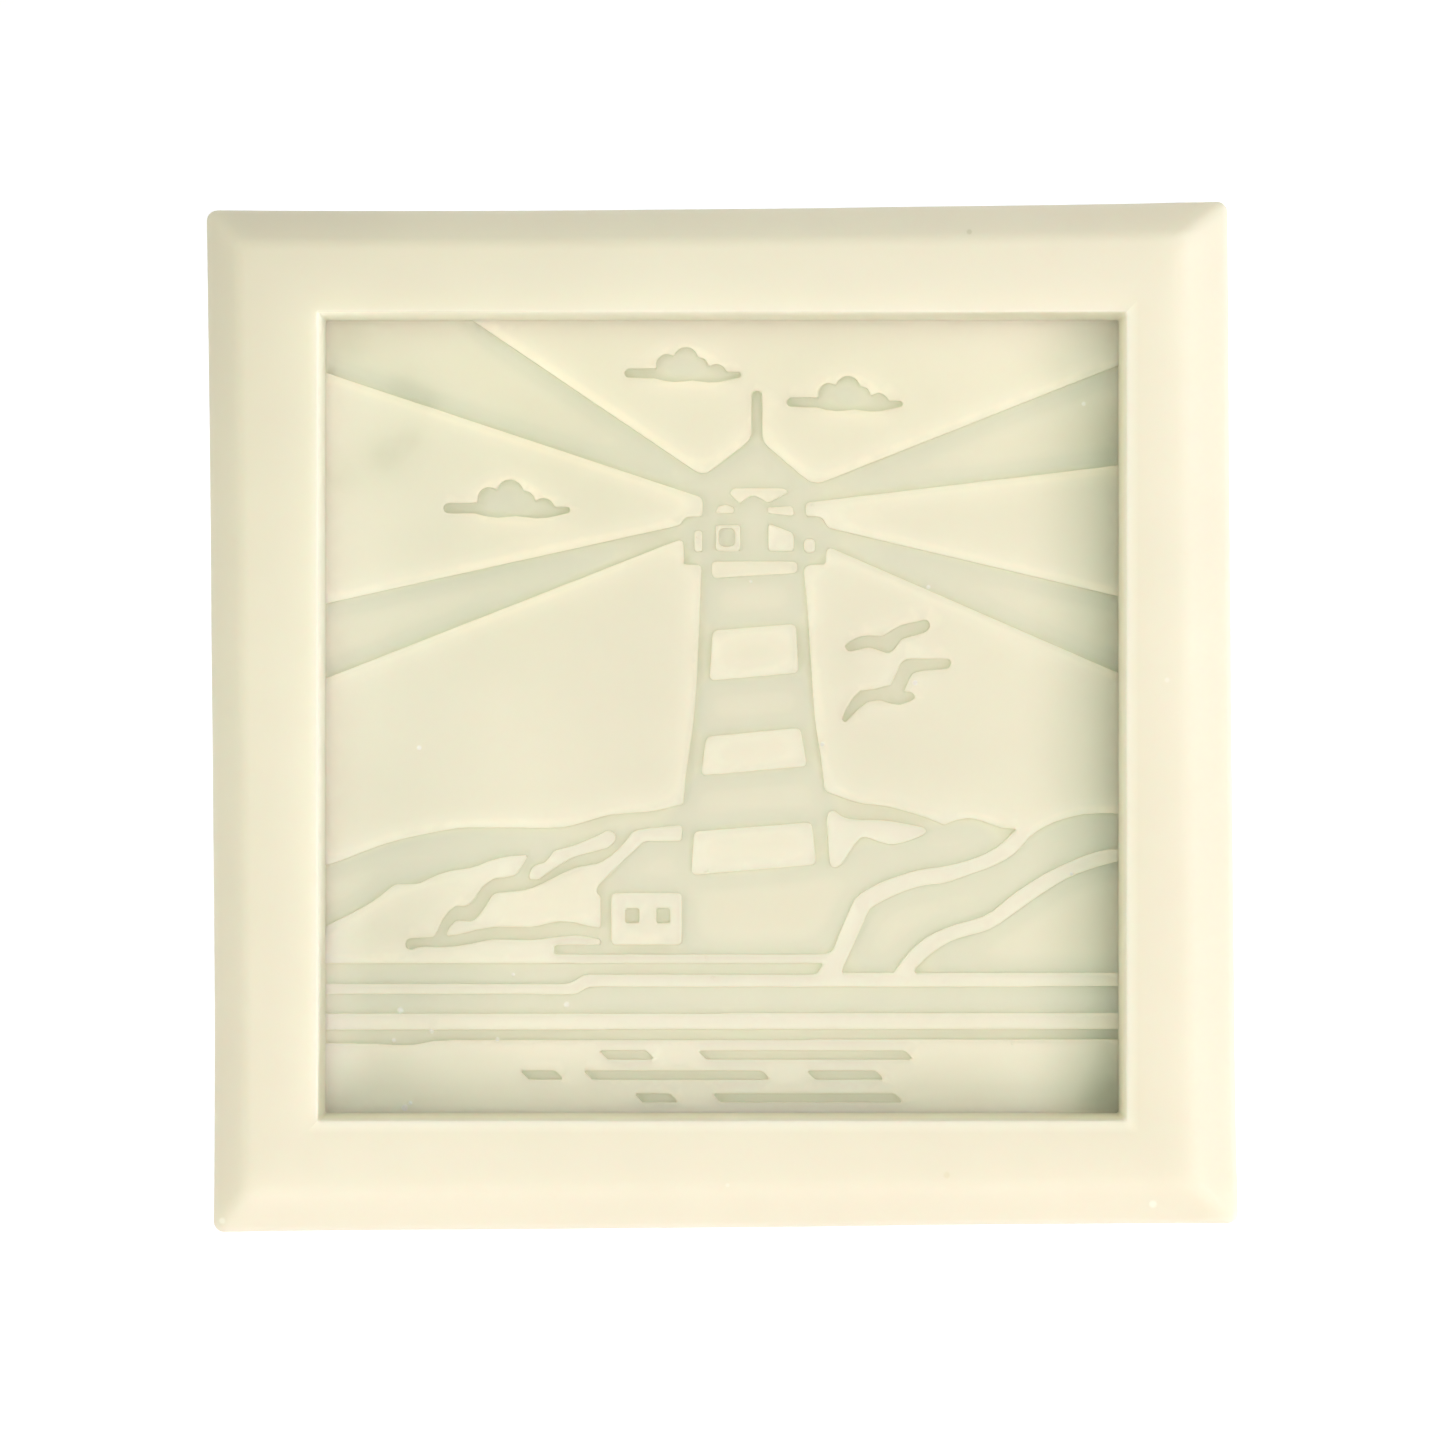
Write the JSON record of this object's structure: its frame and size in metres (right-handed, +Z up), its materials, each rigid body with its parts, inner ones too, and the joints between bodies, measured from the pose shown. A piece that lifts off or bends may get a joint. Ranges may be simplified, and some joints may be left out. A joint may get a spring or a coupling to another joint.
{
  "type": "silicone soap mould",
  "caption": "Square block of soft cast silicone with a deep square cavity open at the top and a lighthouse picture raised on its floor, for casting soap bars.",
  "frame": {"origin": "middle of the flat underside", "axes": "+Z up through the open cavity, +Y to the top of the picture on the cavity floor, +X to its right"},
  "size_m": [0.09, 0.09, 0.03],
  "materials": {
    "silicone_body": "smooth matte cream silicone, slightly translucent",
    "silicone_relief": "smooth matte cream silicone, slightly translucent, fine cast texture"
  },
  "bodies": {
    "root": {"base_slab": "silicone_body", "wall_front": "silicone_body", "wall_back": "silicone_body", "wall_left": "silicone_body", "wall_right": "silicone_body", "sky_top": "silicone_relief", "sky_left": "silicone_relief", "sky_right": "silicone_relief", "sky_lower_left": "silicone_relief", "sky_lower_right": "silicone_relief", "lamp_head": "silicone_relief", "lamp_windows": "silicone_relief", "gallery_band": "silicone_relief", "tower_stripes": "silicone_relief", "cottage_front": "silicone_relief", "hill_middle": "silicone_relief", "hill_left": "silicone_relief", "hill_behind": "silicone_relief", "hill_beside_tower": "silicone_relief", "headland_upper": "silicone_relief", "headland_lower": "silicone_relief", "shore_rib": "silicone_relief", "water_rib_upper": "silicone_relief", "water_rib_lower": "silicone_relief", "water_field": "silicone_relief"}
  },
  "joints": []
}
